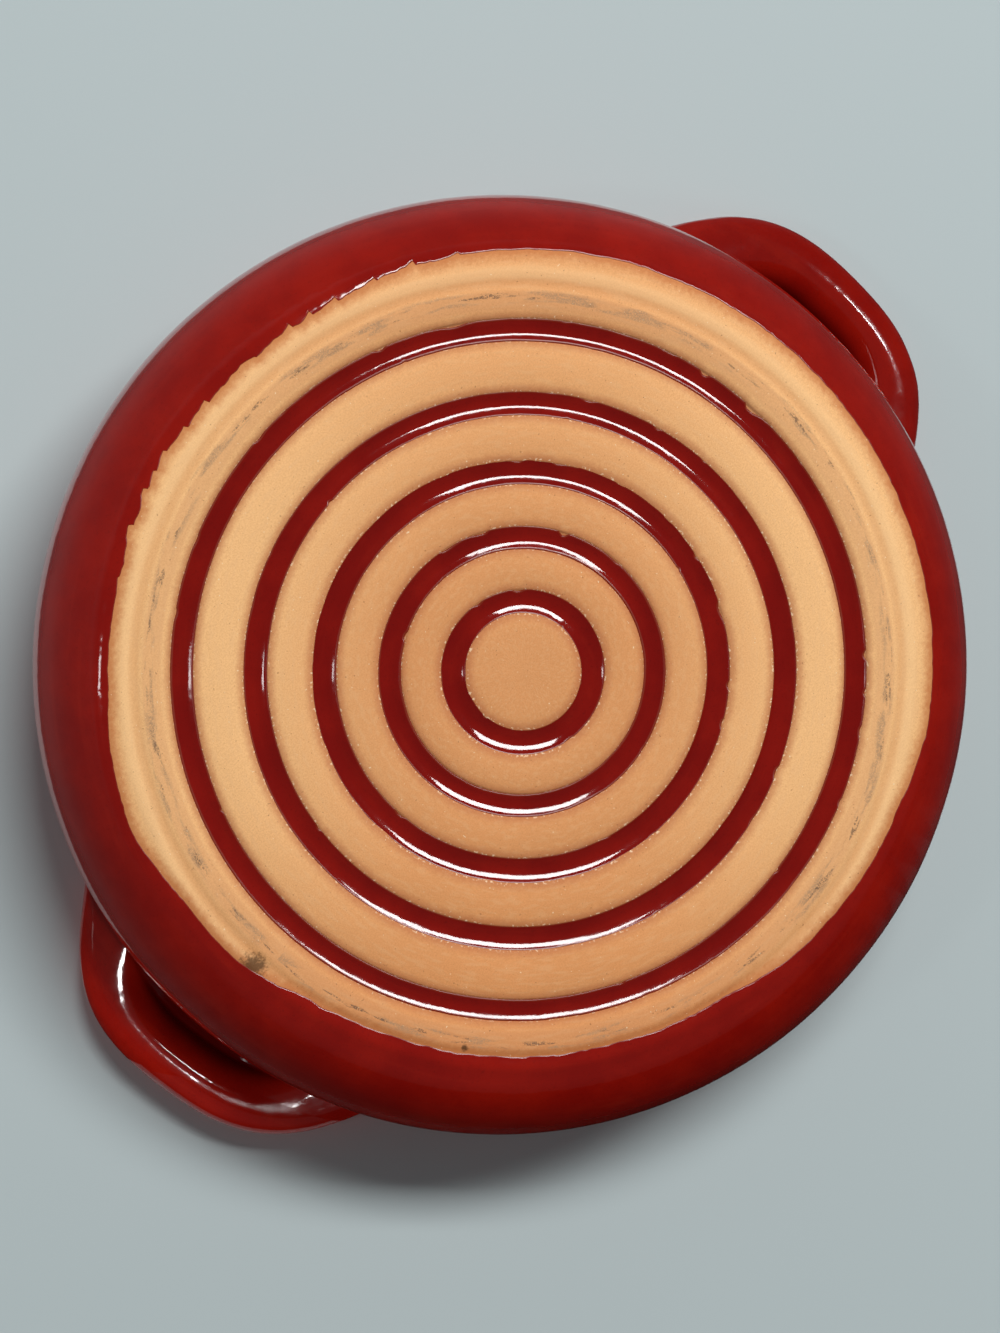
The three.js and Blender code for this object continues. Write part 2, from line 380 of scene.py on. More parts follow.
RIM_LEAN = math.atan(2 * RIM_INSET / (RIM_BASE - BELLY_HEIGHT))
RIM_ROUND = WALL_THICK / 2 * math.cos(RIM_LEAN)


def rim_centre():
    z = HEIGHT - RIM_ROUND
    edge = z + RIM_ROUND * math.sin(RIM_LEAN)
    return wall_radius(edge) - RIM_ROUND * math.cos(RIM_LEAN), z


def upper_wall(count):
    """From the belly to where the rim starts to round over."""
    rim_start = rim_centre()[1] + RIM_ROUND * math.sin(RIM_LEAN)
    z = np.linspace(BELLY_HEIGHT, rim_start, count)
    return wall_radius(z), z


def sweep_outline(start, count):
    """From a radius on the sweep to just under the belly."""
    low = math.asin((start - BEAD) / WALL_SWEEP)
    angle = np.linspace(low, math.pi / 2, count + 1)[:-1]
    return BEAD + WALL_SWEEP * np.sin(angle), lerp(BEAD_HEIGHT, BELLY_HEIGHT, 1 - np.cos(angle))


def inside_outline(rim_steps, wall_steps, corner_steps, floor_steps):
    """Over the rim, down the inside of the wall, round the corner and in towards the axis."""
    centre_r, centre_z = rim_centre()
    over = RIM_LEAN + np.linspace(0, math.pi, rim_steps)
    rim = centre_r + RIM_ROUND * np.cos(over), centre_z + RIM_ROUND * np.sin(over)
    z = np.linspace(rim[1][-1], BELLY_HEIGHT, wall_steps + 1)[1:]
    wall = wall_radius(z) - WALL_THICK, z
    bend = np.linspace(0, math.pi / 2, corner_steps + 1)[1:]
    floor_edge = BELLY - WALL_THICK - CORNER_WIDTH
    corner = floor_edge + CORNER_WIDTH * np.cos(bend), lerp(BELLY_HEIGHT, FLOOR_HEIGHT, np.sin(bend))
    floor_r = np.linspace(floor_edge, 0, floor_steps + 1)[1:-1]
    floor = floor_r, np.full(len(floor_r), FLOOR_HEIGHT)
    return joined(rim, wall, corner, floor)


# The clay

def base_radii():
    """Radii of the clay's rings of points, which lie close by the grooves, the foot and the glaze line."""
    from_groove = np.array([0, 1.6, 2.6, 3.0, 3.3, 3.6, 4.0, 4.5, 5.1, 5.8])
    near = GROOVES[:, None] + np.concatenate([-from_groove, from_groove])
    rings = (GROOVES[1:] + GROOVES[:-1]) / 2
    crests = rings[:, None] + np.array([-2.4, -1.2, 0, 1.2, 2.4])
    middle = np.arange(0.8, GROOVES[0] - 6.4, 0.9)
    foot = np.arange(BEAD - 10.3, BEAD - 4.9, 0.4)
    line = np.arange(BEAD - 4.9, BEAD + 9.5, 0.55)
    radii = np.concatenate([middle, crests.ravel(), near.ravel(), foot, line, [BEAD + 11, SWEEP_JOIN]])
    radii = np.unique(np.round(radii, 2))
    closest = 0.18
    return radii[np.concatenate([[True], np.diff(radii) > closest])]


def make_bowl(material):
    turn = turns(CLAY_TURNS)
    radii = base_radii()
    r = np.broadcast_to(radii, (len(turn), len(radii)))
    z = base_height(r, turn[:, None])
    outer = moved(*joined(sweep_outline(SWEEP_JOIN, 9), upper_wall(8)), CLAY_UNDER)
    inner = moved(*inside_outline(8, 6, 10, 8), CLAY_UNDER)
    tail_r, tail_z = [np.tile(np.concatenate([a[1:], b[1:]]), (len(turn), 1)) for a, b in zip(outer, inner)]
    points, faces = turned(np.hstack([r, tail_r]), np.hstack([z, tail_z]), turn, closed=False)
    made = piece("bowl_clay", points, faces, material, "bowl")
    radius = np.hypot(points[:, 0], points[:, 1])
    angle = np.arctan2(points[:, 1], points[:, 0]) % TAU
    line_turn = turns(LINE_TURNS)
    line = np.interp(angle, line_turn, glaze_line(line_turn), period=TAU)
    give(made, "from_coat", line - radius)
    edges = [groove_edges(index, angle) for index in range(len(GROOVES))]
    beside = [np.maximum(inner - radius, radius - outer) for inner, outer in edges]
    give(made, "from_groove", np.min(beside, axis=0))


# The coats of glaze

FAR = 50.0  # stands for a distance from a coat's edge that makes no difference


def coat_depth(inwards, full, width, swollen):
    """Thickness of a coat by distance inwards from its rounded edge; outside the edge it dips into the clay.

    The coat swells to its full thickness by another distance, which is free of notches.
    """
    short = np.clip(1 - inwards / width, 0, 1)
    thick = full * lerp(EDGE_SHARE, 1, smoothstep(swollen, *SWELLING))
    return np.where(inwards > 0, thick * (1 - short * short), inwards * (0.2 - 1.7 * inwards))


def make_groove_coat(index, material):
    radius = GROOVES[index]
    turn = turns(int(radius * GROOVE_TURNS))
    inner, outer = groove_edges(index, turn)
    low, high = (inner - BEYOND)[:, None], (outer + BEYOND)[:, None]
    part = math.pi * np.linspace(0, 1, 31)
    share = 0.5 - 0.5 * np.cos(part) * (1 - 0.35 * np.sin(part) ** 2)  # closer together by the edges
    r = lerp(low, high, share)
    inwards = np.minimum(r - inner[:, None], outer[:, None] - r)
    surface = base_height(r, turn[:, None], sunk=0)
    waves = max(int(radius * 0.35), 7)
    wobble = 0.025 * ripples(turn, waves, 200 + index) + 0.008 * ripples(turn, waves * 2, 210 + index)
    lean = 0.006 * ripples(turn, waves, 220 + index)
    sway = (wobble[:, None] + lean[:, None] * (r - radius)) * smoothstep(inwards, 0, GROOVE_HALF)
    face = surface - coat_depth(inwards, GROOVE_PROUD, GROOVE_LIP, inwards) - sway
    back_r = lerp(low, high, np.linspace(1, 0, 8))
    back = base_height(back_r, turn[:, None]) + GROOVE_BACK
    points, faces = turned(np.hstack([r, back_r]), np.hstack([face, back]), turn, closed=True)
    number = index + 1
    made = piece(f"groove_coat_{number}", points, faces, material, f"groove_glaze_{number}")
    give(made, "thick", np.hstack([inwards, np.full(back_r.shape, 1.0)]))
    give(made, "grooves_dark_and_recess_shade", np.full(len(points), GROOVE_DARKENING))


def make_outer_coat(material):
    turn = turns(LINE_TURNS)
    count = len(turn)
    line = glaze_line(turn)[:, None]
    start = np.array([-0.5, -0.2, -0.08, 0, 0.12, 0.25, 0.4, 0.6, 0.85, 1.15, 1.6, 2.2, 3.0])
    grow = np.linspace(0, 1, 13)[1:] ** 1.15
    r = np.hstack([line + start, lerp(line + start[-1], SWEEP_JOIN, grow)])
    inwards = r - line
    swollen = r - glaze_line(turn, notched=False)[:, None]
    steep = np.where(r > BEAD, sweep_steepness(r), 1)
    z = base_height(r, turn[:, None]) - coat_depth(inwards, COAT, COAT_LIP, swollen) * steep
    upper = joined(sweep_outline(SWEEP_JOIN, 22), upper_wall(18))
    face_r, face_z = [np.tile(part[1:], (count, 1)) for part in upper]
    out, up = np.hstack([r, face_r]), np.hstack([z, face_z])

    tall, wide = COAT_WAVES
    along = np.arange(out.shape[1])
    waves = lumps(np.cos(turn[:, None]) * BELLY, np.sin(turn[:, None]) * BELLY + 1.5 * along, wide, 31)
    grown = np.hstack([smoothstep(inwards, 1, 5), np.ones(face_r.shape)])
    grown[:, -3:] = 0.6, 0.25, 0  # none where the rim starts
    sway = tall * (0.5 + 0.5 * waves) * grown
    step_r, step_z, length = outline_lengths(out, up, axis=1)
    out, up = out - sway * step_z / length, up + sway * step_r / length

    back = moved(*[part[::3] for part in upper], OUTER_BACK)
    back_r, back_z = [np.tile(part[::-1], (count, 1)) for part in back]
    low = line + start[0]
    back_r = np.hstack([back_r, low + 0.2])
    back_z = np.hstack([back_z, base_height(low, turn[:, None]) + 0.6])
    points, faces = turned(np.hstack([out, back_r]), np.hstack([up, back_z]), turn, closed=True)
    made = piece("outer_coat", points, faces, material, "outer_glaze")
    give(made, "thick", np.hstack([inwards, np.full(face_r.shape, FAR), np.full(back_r.shape, FAR)]))


def make_inner_coat(material):
    turn = turns(INSIDE_TURNS)
    face_r, face_z = [np.tile(part, (len(turn), 1)) for part in inside_outline(20, 22, 26, 30)]
    back = moved(*inside_outline(8, 6, 10, 10), INNER_BACK)
    back_r, back_z = [np.tile(part[::-1], (len(turn), 1)) for part in back]
    tall, wide = INSIDE_WAVES
    x, y = face_r * np.cos(turn)[:, None], face_r * np.sin(turn)[:, None]
    below_rim = smoothstep(-face_z, -RIM_BASE, -RIM_BASE + 20)
    face_z = face_z - tall * (0.5 + 0.5 * lumps(x, y, wide, 41)) * below_rim
    points, faces = turned(np.hstack([back_r, face_r]), np.hstack([back_z, face_z]), turn, closed=False)
    made = piece("inner_coat", points, faces, material, "inner_glaze")
    give(made, "thick", np.full(len(points), FAR))


# Handles

def quarter_fillet(x, width):
    """Height of a fillet of height 1 against the wall, which it meets straight on."""
    return quarter_rise(np.clip(1 - x / width, 0, 1))


def handle_section(angle, spread):
    """Cross-sections of an ear handle by angle from its middle, on the way from its underside over the roll.

    Gives the distance from the wall, the height, the share of the full reach, and that of the recess's depth.
    """
    part = np.minimum(np.abs(angle) / spread, 1) ** HANDLE_POWER
    share = (0.5 + 0.5 * np.cos(math.pi * part))[:, None]
    reach = (HANDLE_TIP - wall_radius(SEAT_HEIGHT)) * share
    half_width = np.minimum(ROLL_WIDTH / 2, ROLL_SHARE * reach)
    half_height = ROLL_HEIGHT / 2 * lerp(ROOT_HEIGHT, 1, 1 - (angle[:, None] / spread) ** 2)
    recess = RECESS_DEPTH * (1 - smoothstep(np.degrees(np.abs(angle)), *RECESS_ENDS[::-1]))[:, None]
    middle = np.maximum(reach - half_width, 1e-3)

    under_x = middle * np.linspace(0, 1, 44)
    from_crest = (middle - under_x) / RECESS_ROUND
    rounded = quarter_rise(np.minimum(from_crest, RECESS_WALL)) / quarter_rise(RECESS_WALL)
    hollow = recess * (rounded + 0.25 * np.maximum(from_crest - RECESS_WALL, 0))
    under_y = -half_height + hollow - UNDER_FILLET * quarter_fillet(under_x, UNDER_FILLET_WIDTH)

    over = np.linspace(0, math.pi, 62)[1:-1]
    roll_x = middle + half_width * np.sin(over) ** (2 / ROLL_POWER)
    roll_y = -half_height * np.sign(np.cos(over)) * np.abs(np.cos(over)) ** (2 / ROLL_POWER)

    back = np.linspace(1, 0, 18) ** 1.3
    top_x = middle * back
    dip = TOP_DIP * share * np.sin(math.pi * back) ** 2
    top_y = half_height - dip + TOP_FILLET * lerp(0.5, 1, share) * quarter_fillet(top_x, TOP_FILLET_WIDTH)

    inside = np.full_like(reach, -BURIED)
    x = np.hstack([inside, under_x, roll_x, top_x, inside])
    y = np.hstack([under_y[:, :1] - 0.3, under_y, roll_y, top_y, top_y[:, -1:] + 0.3])
    flat = np.zeros((len(angle), x.shape[1] - under_x.shape[1] - 1))
    return x, y, share, np.hstack([hollow[:, :1], hollow, flat]) / RECESS_DEPTH


def make_handle(name, azimuth, material, seed):
    seat = wall_radius(SEAT_HEIGHT)
    spread = HANDLE_HALF / seat
    even = np.linspace(-1, 1, HANDLE_TURNS)
    angle = lerp(np.sin(even * math.pi / 2), even, 0.6) * spread
    x, y, share, sunk = handle_section(angle, spread)
    x = x - BURIED / 2 * (1 - smoothstep(share, 0, 0.05))
    z = SEAT_HEIGHT + y
    lean = (wall_radius(np.minimum(z, RIM_BASE)) - seat) * (1 - smoothstep(x, 0, 8))
    tall, wide = HANDLE_WAVES
    waves = lumps(angle[:, None] * seat, 4 * y + 3 * x, wide, seed) - 1
    uneven = tall * waves * smoothstep(x, 1, 6) * share
    points, faces = lofted(around_axis(seat + x + lean + uneven, angle + math.radians(azimuth), z))
    made = piece(name + "_glazed", points, faces, material, name)
    give(made, "thick", np.full(len(points), FAR))
    # Painted shade darkens the glaze in the handle's recess.
    give(made, "grooves_dark_and_recess_shade", np.concatenate([smoothstep(sunk, 0, 0.7).ravel(), [0, 0]]))
    return made


# Shader nodes

def add(tree, kind, links=None, **settings):
    """A shader node. Its links are sockets to join, or values to set, by input name or number."""
    made = tree.nodes.new("ShaderNode" + kind)
    for name, value in settings.items():
        setattr(made, name, value)
    for name, value in (links or {}).items():
        if isinstance(value, bpy.types.NodeSocket):
            tree.links.new(value, made.inputs[name])
        else:
            made.inputs[name].default_value = value
    return made


def mix(tree, share, low, high, mode="MIX"):
    return add(tree, "Mix", {0: share, 6: low, 7: high}, data_type="RGBA", blend_type=mode).outputs[2]


def layered(tree, colour, *layers):
    """A colour under layers, each a share from 0 to 1 and a colour."""
    for share, over in layers:
        colour = mix(tree, share, colour, over)
    return colour


def maths(tree, operation, *values):
    return add(tree, "Math", dict(enumerate(values)), operation=operation).outputs[0]


def times(tree, first, *others):
    """Numbers multiplied together."""
    for other in others:
        first = maths(tree, "MULTIPLY", first, other)
    return first


def apart(tree, first, second):
    """How far two numbers lie apart."""
    return maths(tree, "ABSOLUTE", maths(tree, "SUBTRACT", first, second))


def wave(tree, turn, azimuth):
    """From -1 to 1, with its crest at an azimuth."""
    return maths(tree, "COSINE", maths(tree, "SUBTRACT", turn, math.radians(azimuth)))


def ramp(tree, value, low, high, to_low=0.0, to_high=1.0):
    links = {"Value": value, "From Min": low, "From Max": high, "To Min": to_low, "To Max": to_high}
    return add(tree, "MapRange", links, interpolation_type="SMOOTHSTEP").outputs[0]


def noise(tree, place, size, detail=2.0, roughness=0.5, distortion=0.0):
    """Noise with features of about a size in millimetres."""
    links = {"Vector": place, "Scale": 1 / size, "Detail": detail, "Roughness": roughness,
             "Distortion": distortion}
    return add(tree, "TexNoise", links).outputs["Fac"]


def kept(tree, name):
    """The number that give() kept for each point."""
    return add(tree, "Attribute", attribute_name=name, attribute_type="GEOMETRY").outputs["Fac"]


def places(tree):
    """Position in millimetres, the radius, the turn and the height."""
    coordinates = add(tree, "TexCoord").outputs["Object"]
    place = add(tree, "VectorMath", {0: coordinates, "Scale": 1 / MM}, operation="SCALE").outputs[0]
    x, y, z = add(tree, "SeparateXYZ", {0: place}).outputs
    radius = maths(tree, "SQRT", maths(tree, "ADD", times(tree, x, x), times(tree, y, y)))
    return place, radius, maths(tree, "ARCTAN2", y, x), z


def rolled_out(tree, radius, turn, height, stretch):
    """A place for noise that runs round the axis, as marks of throwing and brushing do."""
    return add(tree, "CombineXYZ", {0: radius, 1: times(tree, turn, stretch), 2: height}).outputs[0]


def new_material(name):
    made = bpy.data.materials.new(name)
    made.use_nodes = True
    return made, made.node_tree, made.node_tree.nodes["Principled BSDF"]


# Materials

DISH_TURN = -49.28  # degrees from the picture's right to +X, clockwise
PHOTO_RIGHT = -DISH_TURN  # azimuth that points right in the photograph

# The third colour is painted light, making the base paler towards two sides and the top.
CLAY_MIDDLE, CLAY_OUTER, CLAY_PAINTED_LIGHT = rgb(225, 156, 98), rgb(228, 155, 95), rgb(255, 203, 140)
CLAY_PATCH, CLAY_GRAIN, CLAY_THROWN = rgb(214, 148, 92), rgb(186, 124, 76), rgb(232, 182, 130)
# The first two colours are painted light on the bead and painted shade in the valley beside it.
BEAD_PAINTED_LIGHT, VALLEY_PAINTED_SHADE, FOOT_WORN = rgb(252, 208, 152), rgb(204, 138, 84), rgb(204, 140, 94)
# The second colour is partly a glaze stain and partly painted shade on the rings' shoulders by the grooves.
TOASTED_BY_COAT, GROOVE_STAIN_AND_SHADE = rgb(196, 116, 62), rgb(190, 114, 70)
RUBBED, SMEARED, STAINED = rgb(166, 132, 100), rgb(104, 82, 64), rgb(84, 54, 26)
# The middle colour is a painted highlight, for glints on the clay's edges by the grooves.
SPECK_PALE, PAINTED_EDGE_GLINT, SPECK_DARK = rgb(250, 222, 180), rgb(255, 222, 182), rgb(140, 88, 52)
MIDDLE_ENDS = (BEAD - 99.5, BEAD - 22.5)  # radii between which the middle's colour becomes the outer one
PAINTED_LIGHT_RADII = (BEAD - 84.5, BEAD - 26.5)  # radii between which painted light makes the base paler towards two sides and the top

GLAZE_DEEP, GLAZE_RED, GLAZE_BRUSHED = rgb(130, 13, 6), rgb(144, 19, 8), rgb(158, 34, 18)
GLAZE_MOTTLE, GLAZE_THIN = rgb(96, 8, 4), rgb(124, 36, 8)
GLAZE_DARKENING = (0.33, 0.1, 0.25, 1)  # what the red is multiplied by in the grooves, and as painted shade in the handles' recesses


def clay_ground(tree, place, radius, turn, throwing, grain):
    """The fired clay before wear, darker in its grain, with painted light that makes it paler towards two
    sides and the top and on the bead, and painted shade in the valley beside the bead.
    """
    patches = noise(tree, place, 28, 3)
    # Painted light: paler towards the two sides, and paler at the top than at the bottom.
    twice = maths(tree, "COSINE", maths(tree, "MULTIPLY_ADD", turn, 2.0, -2 * math.radians(PHOTO_RIGHT)))
    side = maths(tree, "MULTIPLY_ADD", wave(tree, turn, PHOTO_RIGHT - 90), 0.5, twice)
    paler = times(tree, ramp(tree, side, -1.5, 1), ramp(tree, radius, *PAINTED_LIGHT_RADII), 0.85)
    return layered(
        tree, mix(tree, ramp(tree, radius, *MIDDLE_ENDS), CLAY_MIDDLE, CLAY_OUTER),
        (ramp(tree, patches, 0.35, 0.65, 0.25, 0), CLAY_PATCH),
        (paler, CLAY_PAINTED_LIGHT),
        (ramp(tree, grain, 0.3, 0.66, 0.3, 0), CLAY_GRAIN),
        # Painted light on the bead, and painted shade in the valley beside it.
        (ramp(tree, apart(tree, radius, BEAD), 0.6, 3.2, 0.35, 0), BEAD_PAINTED_LIGHT),
        (ramp(tree, apart(tree, radius, VALLEY), 0.4, 2.2, 0.3, 0), VALLEY_PAINTED_SHADE),
        (ramp(tree, throwing, 0.45, 0.7, 0, 0.25), CLAY_THROWN))


def foot_wear(tree, colour, place, radius, round_place):
    """The scuffed foot, with a broken line of rubs and darker smears along its outer side."""
    past_inner = ramp(tree, radius, FOOT[0] - 0.9, FOOT[0] + 0.5)
    before_outer = ramp(tree, radius, FOOT[1] - 0.2, FOOT[1] + 1.2, 1, 0)
    foot = times(tree, past_inner, before_outer, 0.3)
    drift = maths(tree, "MULTIPLY_ADD", noise(tree, round_place, 5, 2), 3.0, -1.5)
    off_line = maths(tree, "ADD", maths(tree, "SUBTRACT", radius, FOOT_LINE), drift)
    from_line = maths(tree, "ABSOLUTE", off_line)
    stretches = ramp(tree, noise(tree, round_place, 3.2, 3, 0.6), 0.48, 0.6)
    hatched = ramp(tree, noise(tree, place, 0.8, 3, 0.7, 1.5), 0.38, 0.58, 0.2, 1)
    rubbed = times(tree, ramp(tree, from_line, 0.9, 2.4, 1, 0), stretches, hatched, 0.7)
    runs = ramp(tree, noise(tree, round_place, 1.7, 2), 0.54, 0.62)
    crumbs = ramp(tree, noise(tree, place, 1.0, 4, 0.8, 1.5), 0.45, 0.55)
    smeared = times(tree, ramp(tree, from_line, 0.3, 1.3, 1, 0), runs, crumbs, 0.8)
    return layered(tree, colour, (foot, FOOT_WORN), (rubbed, RUBBED), (smeared, SMEARED))


def stained(tree, colour, place):
    for azimuth, beyond, size in STAINS:
        turn, radius = math.radians(azimuth), BEAD + beyond
        spot = (radius * math.cos(turn), radius * math.sin(turn), 0)
        away = add(tree, "VectorMath", {0: place, 1: spot}, operation="DISTANCE").outputs["Value"]
        away = maths(tree, "MULTIPLY_ADD", noise(tree, place, 1.2, 3, 0.7), size * 2, away)
        colour = mix(tree, ramp(tree, away, size * 1.4, size * 2.4, 0.85, 0), colour, STAINED)
    return colour


def clay_material():
    made, tree, shader = new_material("fired_clay")
    place, radius, turn, height = places(tree)
    round_place = rolled_out(tree, radius, turn, height, 18.0)
    grain = noise(tree, place, 0.45, 3, 0.65)
    throwing = noise(tree, round_place, 1.1, 2)
    colour = clay_ground(tree, place, radius, turn, throwing, grain)

    from_coat, from_groove = kept(tree, "from_coat"), kept(tree, "from_groove")
    ragged = noise(tree, place, 1.4, 3)
    coat_reach = maths(tree, "ADD", from_coat, maths(tree, "MULTIPLY_ADD", ragged, 3.0, -1.5))
    groove_reach = maths(tree, "ADD", from_groove, maths(tree, "MULTIPLY_ADD", ragged, 1.6, -0.8))
    colour = layered(
        tree, colour,
        (ramp(tree, coat_reach, 0.0, 4.2, 0.85, 0), TOASTED_BY_COAT),
        # Beside the grooves, partly a glaze stain and partly painted shade on the rings' shoulders.
        (ramp(tree, groove_reach, 0.0, 3.2, 0.7, 0), GROOVE_STAIN_AND_SHADE))
    colour = foot_wear(tree, colour, place, radius, round_place)
    colour = stained(tree, colour, place)

    pale_specks = ramp(tree, noise(tree, place, 0.8, 1), 0.74, 0.8, 0, 0.7)
    # Painted highlights: bright glints on the clay's edges beside the grooves.
    crumbs = ramp(tree, noise(tree, place, 0.9, 2), 0.55, 0.66, 0, 0.8)
    painted_glints = times(tree, ramp(tree, from_groove, 0.9, 0.3), crumbs)
    dark_specks = ramp(tree, noise(tree, place, 0.9, 1), 0.27, 0.2, 0, 0.5)
    colour = layered(tree, colour, (pale_specks, SPECK_PALE), (painted_glints, PAINTED_EDGE_GLINT), (dark_specks, SPECK_DARK))

    tree.links.new(colour, shader.inputs["Base Color"])
    tree.links.new(ramp(tree, grain, 0.2, 0.8, 0.92, 0.7), shader.inputs["Roughness"])
    shader.inputs["Specular IOR Level"].default_value = 0.35
    bumps = maths(tree, "MULTIPLY_ADD", throwing, 0.6, noise(tree, place, 0.4, 4, 0.7))
    bump = add(tree, "Bump", {"Strength": 0.55, "Distance": 0.12 * MM, "Height": bumps})
    tree.links.new(bump.outputs[0], shader.inputs["Normal"])
    return made


def glaze_material():
    """Deep red glaze: clouded, brushed round the wall, darker in the grooves, darkened by painted shade in
    the handles' recesses, and brown where it thins out.
    """
    made, tree, shader = new_material("red_glaze")
    place, radius, turn, height = places(tree)
    clouds = noise(tree, place, 22, 4, 0.6)
    brushing = noise(tree, rolled_out(tree, radius, turn, height, 9.0), 3.2, 4, 0.6)
    mottle = noise(tree, place, 0.7, 2)
    thick = kept(tree, "thick")
    colour = layered(
        tree, mix(tree, ramp(tree, clouds, 0.35, 0.68), GLAZE_DEEP, GLAZE_RED),
        (ramp(tree, brushing, 0.5, 0.75, 0, 0.2), GLAZE_BRUSHED),
        (ramp(tree, mottle, 0.55, 0.8, 0, 0.35), GLAZE_MOTTLE))
    colour = layered(
        tree, colour,
        # Darker in the grooves, and painted shade in the handles' recesses.
        (kept(tree, "grooves_dark_and_recess_shade"), mix(tree, 1.0, colour, GLAZE_DARKENING, "MULTIPLY")),
        (ramp(tree, thick, 0.0, 0.45, 0.8, 0), GLAZE_THIN))
    tree.links.new(colour, shader.inputs["Base Color"])
    shader.inputs["IOR"].default_value = 1.45

    gloss = ramp(tree, noise(tree, place, 5, 3), 0.3, 0.7, 0.05, 0.09)
    roughness = maths(tree, "ADD", gloss, ramp(tree, thick, 0.1, 0.5, 0.25, 0))
    tree.links.new(roughness, shader.inputs["Roughness"])
    peel = maths(tree, "MULTIPLY_ADD", noise(tree, place, 1.4, 1), 0.12, noise(tree, place, 6, 2))
    bump = add(tree, "Bump", {"Strength": 0.2, "Distance": 0.3 * MM, "Height": peel})
    tree.links.new(bump.outputs[0], shader.inputs["Normal"])
    return made


# Camera

FOCAL = 3303.7  # pixels, for a frame of 1000 by 1333
FRAME_HEIGHT = 1333
DISH_PLACE = np.array([6.935, 1.673, 950])  # foot's centre from the camera: right, down, ahead
AXIS_LEFT, AXIS_UP = 8.128, 2.601  # degrees by which the dish's axis leans in the picture


def add_camera():
    """The camera of the photograph, under the foot and looking up at the base."""
    axis = np.array([-math.sin(math.radians(AXIS_LEFT)), -math.sin(math.radians(AXIS_UP)), 0])
    axis[2] = math.sqrt(1 - axis @ axis)
    across = np.cross((0, 1, 0), axis)
    across /= np.linalg.norm(across)
    down = np.cross(axis, across)
    turn = math.radians(DISH_TURN)
    dish_x = math.cos(turn) * across + math.sin(turn) * down
    dish_y = -math.sin(turn) * across + math.cos(turn) * down
    from_dish = np.stack([dish_x, dish_y, axis])
    right, below, ahead = from_dish.T
    pose = Matrix(np.stack([right, -below, -ahead], -1).tolist()).to_4x4()
    pose.translation = Vector(-from_dish @ DISH_PLACE * MM)
    data = bpy.data.cameras.new("photo_camera")
    data.sensor_width = 36
    data.lens = FOCAL * data.sensor_width / FRAME_HEIGHT
    data.clip_start, data.clip_end = 0.05, 50
    camera = bpy.data.objects.new("photo_camera", data)
    camera.matrix_world = pose
    bpy.context.scene.collection.objects.link(camera)
    bpy.context.scene.camera = camera


# Stage and light

PALE = rgb(186, 198, 199)
FLOOR_HALF, FLOOR_DROP = 6, 0.0003
BACKDROP_HALF = 0.3
SHADE_SIDE = 128  # azimuth at which the surround is dark, as painted shade
SURROUND = (0.18, -0.03)  # radius and height of the surround's lower edge
SURROUND_NEAR, SURROUND_FAR = 0.143, 0.168  # radius of its upper edge on the dark side, and elsewhere
# The dark colour is painted shade, seen in the glaze's reflections.
SURROUND_SHADE, SURROUND_PALE = rgb(24, 23, 22), rgb(222, 228, 232)
SURROUND_STEPS = 96
BRIGHT_SIDE = 285  # azimuth at which the room is brighter
ROOM_PALE, ROOM_GREY, ROOM_BELOW = (0.95, 0.97, 0.98, 1), (0.5, 0.5, 0.5, 1), (0.1, 0.105, 0.11, 1)
LEVEL_DIM, LEVEL_PALE = (0.03, 0.028, 0.026, 1), (0.46, 0.48, 0.49, 1)


def matt_material(name):
    """A material without a shader, its tree, and a function that shows a shader on its surface."""
    made, tree, shader = new_material(name)
    tree.nodes.remove(shader)
    surface = tree.nodes["Material Output"].inputs["Surface"]
    return made, tree, lambda shown: tree.links.new(shown.outputs[0], surface)


def one_sided(name, colour):
    """A matt surface that shows only from its front."""
    made, tree, show = matt_material(name)
    matt = add(tree, "BsdfDiffuse", {"Color": colour})
    clear = add(tree, "BsdfTransparent")
    behind = add(tree, "NewGeometry").outputs["Backfacing"]
    show(add(tree, "MixShader", {0: behind, 1: matt.outputs[0], 2: clear.outputs[0]}))
    return made


def stage_piece(name, points, faces, material):
    """A part of the stage, which lights nothing and casts no shadow."""
    mesh = bpy.data.meshes.new(name)
    mesh.from_pydata(points, [], faces)
    mesh.materials.append(material)
    made = bpy.data.objects.new(name, mesh)
    made.visible_diffuse = made.visible_transmission = made.visible_shadow = False
    bpy.context.scene.collection.objects.link(made)
    return made


def add_sheet(name, half, height, facing_up):
    """A wide pale plane that keeps the dish's shadow. The glaze shows it only where it faces down."""
    corners = [(-half, -half, height), (half, -half, height), (half, half, height), (-half, half, height)]
    order = (0, 1, 2, 3) if facing_up else (3, 2, 1, 0)
    sheet = stage_piece(name, corners, [order], one_sided(name, PALE))
    sheet.visible_glossy = not facing_up


